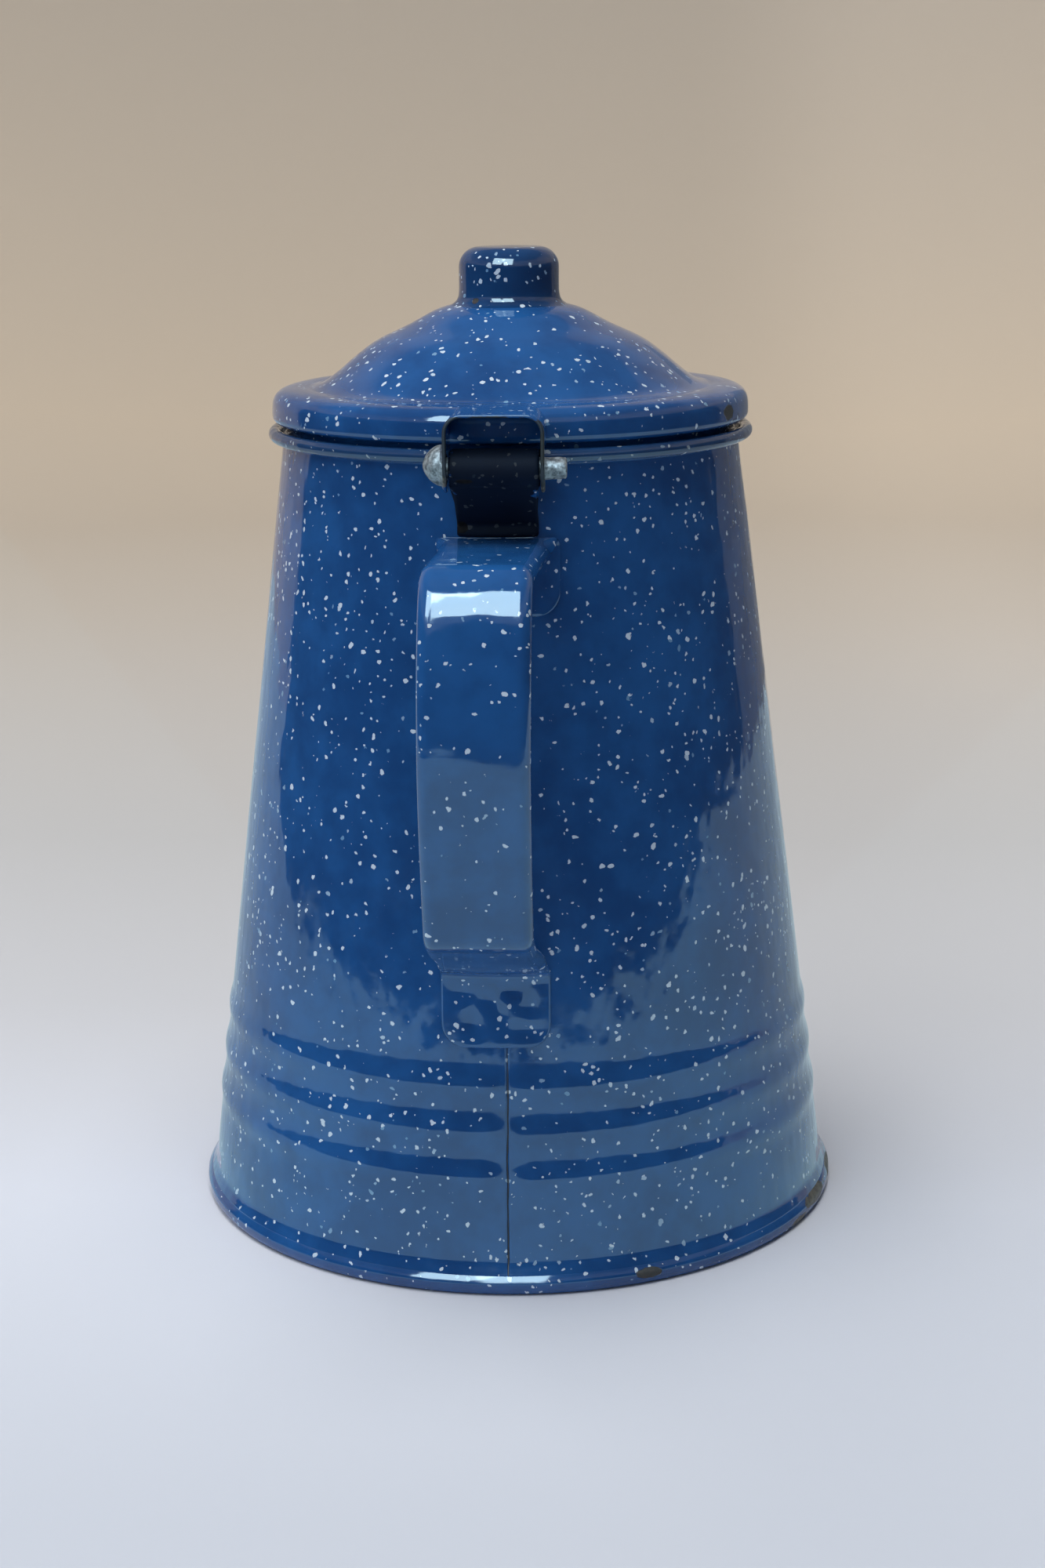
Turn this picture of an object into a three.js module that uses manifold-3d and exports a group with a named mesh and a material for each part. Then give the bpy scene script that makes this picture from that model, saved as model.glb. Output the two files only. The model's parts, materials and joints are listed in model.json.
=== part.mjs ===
// Enamelled steel coffee pot with a hinged lid, in millimetres.
// +Z is up, the spout points along +Y, the handle and the hinge are at -Y,
// and the origin is the centre of the base, on the table.

import * as THREE from "three";
import { mergeVertices } from "three/addons/utils/BufferGeometryUtils.js";
import Module from "manifold-3d";

const wasm = await Module();
wasm.setup();

// Sheet and fits
const SHEET = 1.0; // steel with its enamel on both faces
const GAP = 0.3; // joint line between two pieces that meet
const FACETS = 48; // round a full turn of a large piece
const SMALL_FACETS = 24; // round a full turn of a small piece
const ARC_STEP = THREE.MathUtils.degToRad(22); // longest step along a rounded corner

// Body wall: a cone, half angle about 7 degrees
const WALL_FOOT_R = 72.8; // outer radius where the cone would meet the table
const WALL_TAPER = 0.124; // radius lost per millimetre of height
const WALL_BOTTOM_Z = 1.3;
const FLANGE_R = 73.0; // wall's bottom edge, turned out for the base seam
const RIBS = { count: 3, firstZ: 25, pitch: 10, height: 0.5, halfWidth: 4 };
const RIM = { r: 52.75, z: 177, bead: 1.5, flareZ: 175.4 };

// Base disc, with its edge folded up over the wall's flange
const HEM = { r: 74.3, height: 4.6, corner: 1.3, innerR: 72.75 };

// Strainer holes in the wall, behind the spout
const STRAINER = { rows: 6, firstZ: 122, pitchX: 5, pitchZ: 6, holeR: 1.6 };

// Beak spout: its section is a V that grows from a point at the bottom
const SPOUT = { bottomZ: 88, tipY: 93, tipZ: 177.5, rootZ: 172, rootY: 46, noseR: 4.5 };
const SPOUT_SECTION = { levels: 7, backY: 40, lowHalf: 1, highHalf: 26.5 };

// Handle: a strap of channel section, bent in the plane x = 0
const HANDLE = { width: 21.4, flange: 3.3, topZ: 160.5, footCorner: 5 };
const HANDLE_BENDS = [ // [distance out from the pot's axis, height, bend radius]
  [91.1, 160.5, 9.8],
  [95.8, 154.1, 17.5],
  [104.9, 125.8, 85],
  [92.6, 83, 7],
];
const HANDLE_LOW_ROOT = { out: 60, z: 66.8 };
const UPPER_FOOT = { width: 25, lowZ: 144, highZ: 160.2 };
const LOWER_FOOT = { width: 22.4, lowZ: 53.5, highZ: 69.5 };

// Lid
const NECK = { r: 49.3, bottomZ: 168, topZ: 179.5 };
const BRIM = { r: 53.3, z: 182.2 };
const SHOULDER = [[52.9, 184.6], [51.2, 186.3], [48.4, 187.1], [44, 187.1]];
const DOME_SIDE = [[41.6, 188.1], [38.4, 190.4], [34.2, 193.9], [29.5, 197.2], [22.6, 200.4], [16.5, 203.6]];
const DOME = { topR: 12, topZ: 205 };
const KNOB = { r: 11.2, footR: 12.3, topZ: 217.5, corner: 4.4 };

// Hinge: pin along X, outside the rim on the handle side
const PIN = { out: 62, z: 175.8, r: 2.38, bore: 2.65 };
const BARREL = { r: 4.1, width: 17.9 };
const TAB = { width: 17, footLowZ: 161.1, footHighZ: 166.5, webLowZ: 163, barrelOut: 60.4, barrelZ: 172.8 };
const BRACKET = { width: 20.5, topZ: 187.2, corner: 4, earR: 5, earBackZ: 180.6, innerOut: 48 };
const RIVET = { headR: 4.6, headHeight: 4.1, tail: 14.8, earGap: 0.3 };

const wallRadius = (z) => WALL_FOOT_R - WALL_TAPER * z;
const at = (x, y) => new THREE.Vector2(x, y);

// ---- Outlines ----

// Points on a circle from one angle to another, in degrees.
function arc(centre, radius, from, to, steps) {
  return Array.from({ length: steps + 1 }, (_, i) => {
    const angle = THREE.MathUtils.degToRad(from + ((to - from) * i) / steps);
    return at(centre.x + radius * Math.cos(angle), centre.y + radius * Math.sin(angle));
  });
}

// A line through corners given as [x, y, radius], each rounded to its radius.
function rounded(corners) {
  return corners.flatMap(([x, y, radius], i) => {
    const corner = at(x, y);
    if (!radius) return [corner];
    const [before, after] = [corners.at(i - 1), corners[(i + 1) % corners.length]];
    const back = at(before[0], before[1]).sub(corner).normalize();
    const on = at(after[0], after[1]).sub(corner).normalize();
    const half = Math.acos(back.dot(on)) / 2;
    const reach = radius / Math.tan(half);
    const centre = back.clone().add(on).setLength(radius / Math.sin(half)).add(corner);
    const start = corner.clone().addScaledVector(back, reach).sub(centre);
    const end = corner.clone().addScaledVector(on, reach).sub(centre);
    const turn = Math.atan2(start.cross(end), start.dot(end));
    const steps = Math.ceil(Math.abs(turn) / ARC_STEP);
    return Array.from({ length: steps + 1 }, (_, k) =>
      start.clone().rotateAround(at(0, 0), (turn * k) / steps).add(centre),
    );
  });
}

// The same path moved sideways, to the left of its direction.
function shifted(path, distance) {
  const normals = path.slice(1).map((point, i) => {
    const along = point.clone().sub(path[i]).normalize();
    return at(-along.y, along.x);
  });
  return path.map((point, i) => {
    const before = normals[Math.max(i - 1, 0)];
    const after = normals[Math.min(i, normals.length - 1)];
    const mitre = before.clone().add(after).normalize();
    return point.clone().addScaledVector(mitre, distance / mitre.dot(after));
  });
}

// ---- Solids ----

function solid(geometry) {
  const bare = geometry.clone().deleteAttribute("normal").deleteAttribute("uv");
  const merged = mergeVertices(bare, 1e-4);
  const mesh = new wasm.Mesh({
    numProp: 3,
    vertProperties: merged.attributes.position.array,
    triVerts: new Uint32Array(merged.index.array),
  });
  return new wasm.Manifold(mesh);
}

function geometryOf(manifold) {
  const mesh = manifold.getMesh();
  const geometry = new THREE.BufferGeometry();
  geometry.setAttribute("position", new THREE.BufferAttribute(mesh.vertProperties, 3));
  geometry.setIndex(new THREE.BufferAttribute(mesh.triVerts, 1));
  geometry.computeVertexNormals();
  return geometry;
}

// A profile of (radius, height) points turned round the Z axis.
function turned(profile, facets = FACETS) {
  return new THREE.LatheGeometry(profile, facets).rotateX(Math.PI / 2);
}

// A sheet that closes on the axis at its top: the path is its outer face, from its bottom edge up.
function turnedSheet(path, facets) {
  const inner = shifted(path, SHEET);
  inner.at(0).setY(path[0].y);
  inner.at(-1).setX(0);
  return turned([...inner.reverse(), ...path], facets);
}

// An outline of (distance out from the axis, height) points on the handle side, across a width of X.
function acrossX(outline, width) {
  const shape = new THREE.Shape(outline.map((point) => at(-point.x, point.y)));
  const toYZ = new THREE.Matrix4().makeBasis(
    new THREE.Vector3(0, 1, 0),
    new THREE.Vector3(0, 0, 1),
    new THREE.Vector3(1, 0, 0),
  );
  return new THREE.ExtrudeGeometry(shape, { depth: width, bevelEnabled: false })
    .translate(0, 0, -width / 2)
    .applyMatrix4(toYZ);
}

// An outline of (x, height) points on the handle side, run outwards between two distances.
function outwards(outline, fromOut, toOut) {
  return new THREE.ExtrudeGeometry(new THREE.Shape(outline), { depth: toOut - fromOut, bevelEnabled: false })
    .rotateX(Math.PI / 2)
    .translate(0, -fromOut, 0);
}

// A round bar on the hinge's axis.
function roundPin(radius, length) {
  const bar = new THREE.CylinderGeometry(radius, radius, length, SMALL_FACETS);
  return solid(bar.rotateZ(Math.PI / 2).translate(0, -PIN.out, PIN.z));
}

// The pot's cone as a solid, this much larger in radius, between two heights.
function cone(extra, lowZ = 0, highZ = RIM.flareZ) {
  return solid(
    turned([
      at(0, lowZ),
      at(wallRadius(lowZ) + extra, lowZ),
      at(wallRadius(highZ) + extra, highZ),
      at(0, highZ),
    ]),
  );
}

// A plate that lies on the wall at the handle side, with its two lower corners rounded.
function wallPlate({ width, lowZ, highZ }, corner) {
  const side = width / 2;
  const outline = rounded([
    [-side, lowZ, corner],
    [side, lowZ, corner],
    [side, highZ],
    [-side, highZ],
  ]);
  const shell = cone(GAP + SHEET, lowZ - 1, highZ + 1).subtract(cone(GAP, lowZ - 2, highZ + 2));
  return shell.intersect(solid(outwards(outline, wallRadius(highZ) - 10, wallRadius(lowZ) + 10)));
}

// A closed skin over level rings that all have the same number of points, lowest ring first.
function loft(rings) {
  const count = rings[0].length;
  const positions = rings.flat().flatMap((point) => [point.x, point.y, point.z]);
  const index = [];
  for (let level = 0; level < rings.length - 1; level++)
    for (let i = 0; i < count; i++) {
      const [a, b] = [level * count + i, level * count + ((i + 1) % count)];
      index.push(a, b, b + count, a, b + count, a + count);
    }
  const top = (rings.length - 1) * count;
  for (let i = 1; i < count - 1; i++) index.push(0, i + 1, i, top, top + i, top + i + 1);
  const geometry = new THREE.BufferGeometry();
  geometry.setAttribute("position", new THREE.Float32BufferAttribute(positions, 3));
  return geometry.setIndex(index);
}

// ---- Pieces ----

function bodyWall() {
  const ribs = Array.from({ length: RIBS.count }, (_, rib) => {
    const crest = RIBS.firstZ + rib * RIBS.pitch;
    return [-1, -0.5, 0, 0.5, 1].map((t) => {
      const z = crest + t * RIBS.halfWidth;
      return at(wallRadius(z) + RIBS.height * Math.cos((t * Math.PI) / 2) ** 2, z);
    });
  }).flat();
  const bottomIn = at(wallRadius(WALL_BOTTOM_Z) - SHEET, WALL_BOTTOM_Z);
  const flangeTop = WALL_BOTTOM_Z + SHEET;
  const wall = turned([
    bottomIn,
    at(FLANGE_R, WALL_BOTTOM_Z),
    at(FLANGE_R, flangeTop),
    at(wallRadius(flangeTop), flangeTop),
    ...ribs,
    at(wallRadius(RIM.flareZ), RIM.flareZ),
    ...arc(at(RIM.r, RIM.z), RIM.bead, -150, 180, 10),
    at(wallRadius(RIM.flareZ) - SHEET, RIM.flareZ),
    bottomIn,
  ]);
  return geometryOf(strainerHoles().reduce((pierced, hole) => pierced.subtract(hole), solid(wall)));
}

// A triangle of holes, one in the lowest row and one more in each row above.
function strainerHoles() {
  const holes = [];
  for (let row = 0; row < STRAINER.rows; row++)
    for (let i = 0; i <= row; i++) {
      const z = STRAINER.firstZ + row * STRAINER.pitchZ;
      const drill = new THREE.CylinderGeometry(STRAINER.holeR, STRAINER.holeR, 6 * SHEET, 10);
      holes.push(solid(drill.translate((i - row / 2) * STRAINER.pitchX, wallRadius(z), z)));
    }
  return holes;
}

function baseDisc() {
  return turned(
    rounded([
      [0, 0],
      [HEM.r, 0, HEM.corner],
      [HEM.r, HEM.height, HEM.corner],
      [HEM.innerR, HEM.height],
      [HEM.innerR, WALL_BOTTOM_Z + SHEET + GAP],
      [FLANGE_R + GAP, WALL_BOTTOM_Z + SHEET + GAP],
      [FLANGE_R + GAP, SHEET],
      [0, SHEET],
    ]),
  );
}

// The spout's V section at one height, its nose rounded, drawn in by an inset.
function spoutRing(z, inset) {
  const rise = (z - SPOUT.bottomZ) / (SPOUT.tipZ - SPOUT.bottomZ);
  const noseR = SPOUT.noseR - inset;
  const startY = wallRadius(SPOUT.bottomZ) - 1;
  const noseY = startY + (SPOUT.tipY - startY) * rise - inset - noseR;
  const { backY, lowHalf, highHalf } = SPOUT_SECTION;
  const back = at(lowHalf + (highHalf - lowHalf) * rise - inset, backY - 2 * inset * (1 - rise));
  const lean = Math.atan2(back.x, noseY - back.y);
  const reach = Math.hypot(back.x, noseY - back.y);
  const half = THREE.MathUtils.radToDeg(Math.PI - lean - Math.acos(noseR / reach));
  const nose = arc(at(0, noseY), noseR, 90 - half, 90 + half, 6);
  return [back, ...nose, at(-back.x, back.y)].map((point) => new THREE.Vector3(point.x, point.y, z));
}

// The V as a solid, drawn in by an inset, from just above its point to well above the tip.
function spoutCore(inset) {
  const lowZ = SPOUT.bottomZ + 0.5 + 3 * inset;
  const step = (SPOUT.tipZ + 6 - SPOUT.bottomZ) / (SPOUT_SECTION.levels - 1);
  const rings = Array.from({ length: SPOUT_SECTION.levels }, (_, i) => spoutRing(lowZ + step * i, inset));
  return solid(loft(rings));
}

function spout() {
  const slope = Math.atan2(SPOUT.tipZ - SPOUT.rootZ, SPOUT.tipY - SPOUT.rootY);
  const depth = 40;
  const above = new THREE.BoxGeometry(3 * depth, 3 * depth, depth)
    .translate(0, 0, depth / 2)
    .rotateX(slope)
    .translate(0, SPOUT.tipY, SPOUT.tipZ);
  const wall = cone(GAP, SPOUT.bottomZ - depth, SPOUT.tipZ + depth);
  return geometryOf(spoutCore(0).subtract(spoutCore(SHEET)).subtract(solid(above)).subtract(wall));
}

// The strap's outer face as (distance out, height), from inside the wall at the top to the bottom.
function handlePath() {
  return rounded([
    [wallRadius(HANDLE.topZ) - 4, HANDLE.topZ],
    ...HANDLE_BENDS,
    [HANDLE_LOW_ROOT.out, HANDLE_LOW_ROOT.z],
  ]);
}

function handleStrap() {
  const path = handlePath();
  const band = (depth) => [...path, ...shifted(path, -depth).reverse()];
  const flange = (side) =>
    solid(acrossX(band(HANDLE.flange), SHEET).translate((side * (HANDLE.width - SHEET)) / 2, 0, 0));
  const channel = solid(acrossX(band(SHEET), HANDLE.width)).add(flange(-1)).add(flange(1));
  return geometryOf(
    channel
      .subtract(cone(GAP))
      .add(wallPlate(UPPER_FOOT, HANDLE.footCorner))
      .add(wallPlate(LOWER_FOOT, HANDLE.footCorner)),
  );
}

function hingeTab() {
  const path = [at(wallRadius(TAB.webLowZ) - 1, TAB.webLowZ - 1), at(TAB.barrelOut, TAB.barrelZ)];
  const web = solid(acrossX([...path, ...shifted(path, SHEET).reverse()], TAB.width));
  const foot = wallPlate({ width: TAB.width, lowZ: TAB.footLowZ, highZ: TAB.footHighZ }, 0);
  const barrel = roundPin(BARREL.r, BARREL.width);
  const bore = roundPin(PIN.bore, BARREL.width + 2);
  return geometryOf(web.subtract(cone(GAP)).add(foot).add(barrel).subtract(bore));
}

// The lid's outer face as (radius, height), from the neck's bottom edge up to the axis.
function lidPath() {
  const shoulder = new THREE.SplineCurve([
    at(BRIM.r, BRIM.z),
    ...[...SHOULDER, ...DOME_SIDE].map(([r, z]) => at(r, z)),
    at(DOME.topR, DOME.topZ),
  ]);
  return [
    at(NECK.r, NECK.bottomZ),
    ...rounded([
      [NECK.r, NECK.topZ - 3],
      [NECK.r, NECK.topZ, 1],
      [BRIM.r, NECK.topZ, 1.6],
      [BRIM.r, BRIM.z],
    ]).slice(1, -1),
    ...shoulder.getPoints(15),
    at(0, DOME.topZ),
  ];
}

function lidKnob() {
  const foot = DOME.topZ + GAP;
  const path = rounded([
    [KNOB.footR, foot],
    [KNOB.r, foot + 1.2, 0.8],
    [KNOB.r, KNOB.topZ - 0.4, KNOB.corner],
    [0, KNOB.topZ],
  ]);
  return turnedSheet(path, SMALL_FACETS * 1.5);
}

function hingeBracket() {
  const side = BRACKET.width / 2;
  const legZ = PIN.z - BRACKET.earR;
  const arch = (inset) =>
    rounded([
      [-side + inset, legZ - inset],
      [side - inset, legZ - inset],
      [side - inset, BRACKET.topZ - inset, BRACKET.corner - inset],
      [-side + inset, BRACKET.topZ - inset, BRACKET.corner - inset],
    ]);
  const channel = solid(outwards(arch(0), BRACKET.innerOut, PIN.out + 8)).subtract(
    solid(outwards(arch(SHEET), BRACKET.innerOut - 1, PIN.out + 9)),
  );
  const sideView = [
    ...arc(at(PIN.out, PIN.z), BRACKET.earR, 180, 360, 8),
    at(PIN.out + BRACKET.earR, BRACKET.topZ + 1),
    at(BRACKET.innerOut, BRACKET.topZ + 1),
    at(BRACKET.innerOut, BRACKET.earBackZ),
    at(PIN.out - BRACKET.earR, BRACKET.earBackZ),
  ];
  const ears = solid(acrossX(sideView, BRACKET.width + 2)).subtract(roundPin(PIN.bore, BRACKET.width + 4));
  const lid = solid(turned([at(0, NECK.bottomZ), ...shifted(lidPath(), -GAP)]));
  return geometryOf(channel.intersect(ears).subtract(lid));
}

// Rivet along the pin axis: a domed head outside one ear, a plain tail past the other.
function hingeRivet() {
  const headFace = BRACKET.width / 2 + RIVET.earGap;
  const head = arc(at(0, 0), 1, -90, 0, 5).map((unit) =>
    at(unit.x * RIVET.headR, unit.y * RIVET.headHeight - headFace),
  );
  const tailEnd = rounded([
    [PIN.r, -headFace],
    [PIN.r, RIVET.tail, 0.5],
    [0, RIVET.tail],
  ]);
  return turned([...head, ...tailEnd], SMALL_FACETS).rotateY(Math.PI / 2).translate(0, -PIN.out, PIN.z);
}

// ---- Assembly ----

const enamel = { color: 0x1d4f91, roughness: 0.18, metalness: 0 };
const aluminium = { color: 0x9a9ea1, roughness: 0.55, metalness: 1 };

function piece(name, geometry, finish) {
  const mesh = new THREE.Mesh(geometry, new THREE.MeshStandardMaterial(finish));
  mesh.name = name;
  return mesh;
}

const body = new THREE.Group();
body.add(
  piece("body_wall", bodyWall(), enamel),
  piece("base_disc", baseDisc(), enamel),
  piece("spout", spout(), enamel),
  piece("handle_strap", handleStrap(), enamel),
  piece("hinge_tab", hingeTab(), enamel),
);

const lid = new THREE.Group();
lid.add(
  piece("lid_shell", turnedSheet(lidPath()), enamel),
  piece("lid_knob", lidKnob(), enamel),
  piece("hinge_bracket", hingeBracket(), enamel),
  piece("hinge_rivet", hingeRivet(), aluminium),
);

const coffeePot = new THREE.Group();
coffeePot.add(body, lid);

export default coffeePot;
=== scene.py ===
"""Looks of the enamelled coffee pot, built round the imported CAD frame.

Lengths are in millimetres until a mesh is made, and the frame is the CAD's: +Z up, spout along +Y,
handle and hinge at -Y, origin at the centre of the base.
"""

import json
import math

import bmesh
import bpy
import numpy as np
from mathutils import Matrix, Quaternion, Vector, noise


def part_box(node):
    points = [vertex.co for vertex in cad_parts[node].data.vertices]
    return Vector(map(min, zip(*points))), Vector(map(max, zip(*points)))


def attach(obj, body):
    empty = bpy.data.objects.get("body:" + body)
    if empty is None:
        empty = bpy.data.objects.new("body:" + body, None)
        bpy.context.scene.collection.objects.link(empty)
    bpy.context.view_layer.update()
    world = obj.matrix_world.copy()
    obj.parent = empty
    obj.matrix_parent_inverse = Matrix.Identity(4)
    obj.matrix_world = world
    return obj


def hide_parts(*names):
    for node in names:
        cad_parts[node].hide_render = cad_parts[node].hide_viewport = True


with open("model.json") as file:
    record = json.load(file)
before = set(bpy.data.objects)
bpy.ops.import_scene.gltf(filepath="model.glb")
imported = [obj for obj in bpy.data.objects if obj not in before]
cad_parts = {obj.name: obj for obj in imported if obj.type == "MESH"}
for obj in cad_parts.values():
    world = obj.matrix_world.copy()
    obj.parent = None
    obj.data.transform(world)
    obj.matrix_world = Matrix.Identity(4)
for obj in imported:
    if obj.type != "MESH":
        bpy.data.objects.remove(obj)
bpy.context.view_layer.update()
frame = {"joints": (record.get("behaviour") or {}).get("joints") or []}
MM = 0.001


def low(node):
    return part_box(node)[0] / MM


def high(node):
    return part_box(node)[1] / MM


# Driving dimensions: the CAD's, most of them read from the frame
SHEET = 1.0
WALL_FOOT_R, WALL_TAPER = 72.8, 0.124
HEM_R, HEM_Z = high("base_disc").x, high("base_disc").z
WALL_BOTTOM_Z = low("body_wall").z
RIM_BEAD = 1.5
RIM_R, RIM_Z = 52.75, high("body_wall").z - RIM_BEAD
RIM_START = 173.5  # where the wall begins to turn out into the rim
RIB_Z, RIB_HEIGHT, RIB_HALF = (25, 35, 45), 0.55, 4.2
BRIM_R = high("lid_shell").x
NECK_BOTTOM, DOME_TOP = low("lid_shell").z, high("lid_shell").z
NECK_R, NECK_TOP = 49.3, 179.5
KNOB_R = 11.2
KNOB_TOP = high("lid_knob").z
PIN_OUT, PIN_Z = -frame["joints"][0]["pos_m"][1] / MM, frame["joints"][0]["pos_m"][2] / MM
PIN_R = 2.38
HANDLE_LOW_Z = low("handle_strap").z
TIP_Y, SPOUT_TOP = high("spout").y, high("spout").z
BRACKET_SIDE, BRACKET_TOP = high("hinge_bracket").x, high("hinge_bracket").z
BRACKET_OUT = -low("hinge_bracket").y
SEAM_ANGLE = math.radians(271.2)  # where the wall's seam is, round from +X


def wall_r(z):
    return WALL_FOOT_R - WALL_TAPER * z


# ---- Camera, first ----

def make_camera():
    """A camera a little right of the handle, level with the knob's top, looking down at the pot."""
    distance, height = 0.593, 0.24216
    azimuth, pitch, yaw, roll = (math.radians(a) for a in (3.1, 13.975, 0.18, 0.58))
    data = bpy.data.cameras.new("camera")
    data.sensor_width = 36
    data.lens = 60.3
    data.dof.use_dof = False
    camera = bpy.data.objects.new("camera", data)
    camera.location = (distance * math.sin(azimuth), -distance * math.cos(azimuth), height)
    heading = azimuth - yaw
    level = Vector((-math.sin(heading), math.cos(heading), 0))
    forward = level * math.cos(pitch) - Vector((0, 0, math.sin(pitch)))
    camera.rotation_mode = "QUATERNION"
    camera.rotation_quaternion = forward.to_track_quat("-Z", "Y") @ Quaternion((0, 0, 1), -roll)
    bpy.context.collection.objects.link(camera)
    bpy.context.scene.camera = camera


# ---- Outlines ----

def rounded(corners, step=8):
    """A line through corners (x, y, radius), each rounded to its radius, as an array of points."""
    points = []
    for i, (x, y, *rest) in enumerate(corners):
        corner = np.array((x, y), float)
        if not rest:
            points.append(corner)
            continue
        back = np.array(corners[i - 1][:2]) - corner
        onward = np.array(corners[(i + 1) % len(corners)][:2]) - corner
        back, onward = back / np.linalg.norm(back), onward / np.linalg.norm(onward)
        half = math.acos(back @ onward) / 2
        bisector = (back + onward) / np.linalg.norm(back + onward)
        centre = corner + bisector * rest[0] / math.sin(half)
        start = corner + back * rest[0] / math.tan(half) - centre
        end = corner + onward * rest[0] / math.tan(half) - centre
        turn = math.atan2(start[0] * end[1] - start[1] * end[0], start @ end)
        steps = max(2, math.ceil(abs(math.degrees(turn)) / step))
        for k in range(steps + 1):
            c, s = math.cos(turn * k / steps), math.sin(turn * k / steps)
            points.append(centre + np.array((c * start[0] - s * start[1], s * start[0] + c * start[1])))
    return np.array(points)


def arc(centre, radius, start, end, steps):
    angles = np.radians(np.linspace(start, end, steps + 1))
    return np.stack((centre[0] + radius * np.cos(angles), centre[1] + radius * np.sin(angles)), 1)


def spline(points, steps=8):
    """A smooth curve through points, with this many steps between each two."""
    p = np.array(points, float)
    p = np.vstack((2 * p[0] - p[1], p, 2 * p[-1] - p[-2]))
    curve = []
    for a, b, c, d in zip(p, p[1:], p[2:], p[3:]):
        for t in np.arange(steps) / steps:
            bend, twist = 2 * a - 5 * b + 4 * c - d, 3 * b - a - 3 * c + d
            curve.append(0.5 * (2 * b + (c - a) * t + bend * t**2 + twist * t**3))
    return np.vstack((curve, p[-2]))


def spaced(path, step):
    """The same line with extra points, so that none of its stretches is longer than step."""
    out = [path[0]]
    for a, b in zip(path, path[1:]):
        count = max(1, math.ceil(np.linalg.norm(b - a) / step))
        out += [a + (b - a) * k / count for k in range(1, count + 1)]
    return np.array(out)


def even_line(start, end, count):
    """A straight line cut into this many equal steps."""
    t = np.linspace(0, 1, count + 1)[:, None]
    return np.asarray(start) + (np.asarray(end) - np.asarray(start)) * t


def normals_of(path):
    """The unit vector to the left of a line at each of its points."""
    along = np.gradient(np.asarray(path, float), axis=0)
    along /= np.linalg.norm(along, axis=1)[:, None]
    return np.stack((-along[:, 1], along[:, 0]), 1)


def shifted(path, distance):
    """A line moved sideways, to the left of its direction, with its corners mitred."""
    step = np.diff(path, axis=0)
    side = np.stack((-step[:, 1], step[:, 0]), 1) / np.linalg.norm(step, axis=1)[:, None]
    before, after = np.vstack((side[:1], side)), np.vstack((side, side[-1:]))
    mitre = before + after
    mitre /= np.linalg.norm(mitre, axis=1)[:, None]
    return path + mitre * (distance / np.sum(mitre * after, 1))[:, None]


def smooth(low_edge, high_edge, value):
    t = np.clip((value - low_edge) / (high_edge - low_edge), 0, 1)
    return t * t * (3 - 2 * t)


def wobble(x, y, z, size, seed):
    """Smooth noise from -1 to 1 with features of this size, at each point."""
    x, y, z = np.broadcast_arrays(x, y, z)
    places = zip(x.ravel() / size + seed, y.ravel() / size, z.ravel() / size)
    return np.reshape([noise.noise(Vector(place)) for place in places], x.shape)


# ---- Meshes ----

def make_piece(name, verts, faces, material, body, node, sharp=40):
    """A smooth-shaded mesh from points in millimetres, riding on a body in place of a CAD node."""
    mesh = bpy.data.meshes.new(name)
    mesh.from_pydata([tuple(v * MM) for v in np.asarray(verts, float)], [], faces)
    work = bmesh.new()
    work.from_mesh(mesh)
    bmesh.ops.remove_doubles(work, verts=work.verts, dist=2e-6)
    bmesh.ops.recalc_face_normals(work, faces=work.faces)
    work.to_mesh(mesh)
    work.free()
    mesh.polygons.foreach_set("use_smooth", [True] * len(mesh.polygons))
    mesh.set_sharp_from_angle(angle=math.radians(sharp))
    mesh.materials.append(material)
    piece = bpy.data.objects.new(name, mesh)
    bpy.context.collection.objects.link(piece)
    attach(piece, body)
    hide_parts(node)
    return piece


def grid_faces(rows, columns, wrap_rows=False, wrap_columns=False):
    """Quads over a grid of points, row by row."""
    faces = []
    for i in range(rows if wrap_rows else rows - 1):
        for j in range(columns if wrap_columns else columns - 1):
            a, b = i * columns + j, i * columns + (j + 1) % columns
            c = (i + 1) % rows * columns
            faces.append((a, b, c + (j + 1) % columns, c + j))
    return faces


def turned(profile, angles, closed=True, warp=None):
    """Points and faces of a (radius, height) profile turned round Z. warp moves (r, z, angle)."""
    r, angle = np.meshgrid(profile[:, 0], angles)
    z = np.broadcast_to(profile[:, 1], r.shape)
    if warp:
        r, z = warp(r, z, angle)
    verts = np.stack((r * np.cos(angle), r * np.sin(angle), z), 2).reshape(-1, 3)
    return verts, grid_faces(len(angles), len(profile), wrap_rows=True, wrap_columns=closed)


def full_turn(count, start=0.0):
    return start + np.arange(count) * 2 * math.pi / count


def swept(rings):
    """Points and faces of closed rings joined in order, with a face over each end."""
    count = len(rings[0])
    faces = grid_faces(len(rings), count, wrap_columns=True)
    last = (len(rings) - 1) * count
    faces += [tuple(range(count))[::-1], tuple(range(last, last + count))]
    return np.vstack(rings), faces


def sheet_ring(centre, half_thickness, steps=3):
    """A closed ring round a line of section points: both faces of a sheet, with round edges."""
    normal = normals_of(centre)
    along = np.stack((normal[:, 1], -normal[:, 0]), 1)
    turn = np.radians(np.linspace(90, -90, steps + 2))[1:-1, None]
    end = centre[-1] + half_thickness * (normal[-1] * np.sin(turn) + along[-1] * np.cos(turn))
    start = centre[0] - half_thickness * (normal[0] * np.sin(turn) + along[0] * np.cos(turn))
    offset = half_thickness * normal
    return np.vstack((centre + offset, end, (centre - offset)[::-1], start))


# ---- Materials ----

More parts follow.
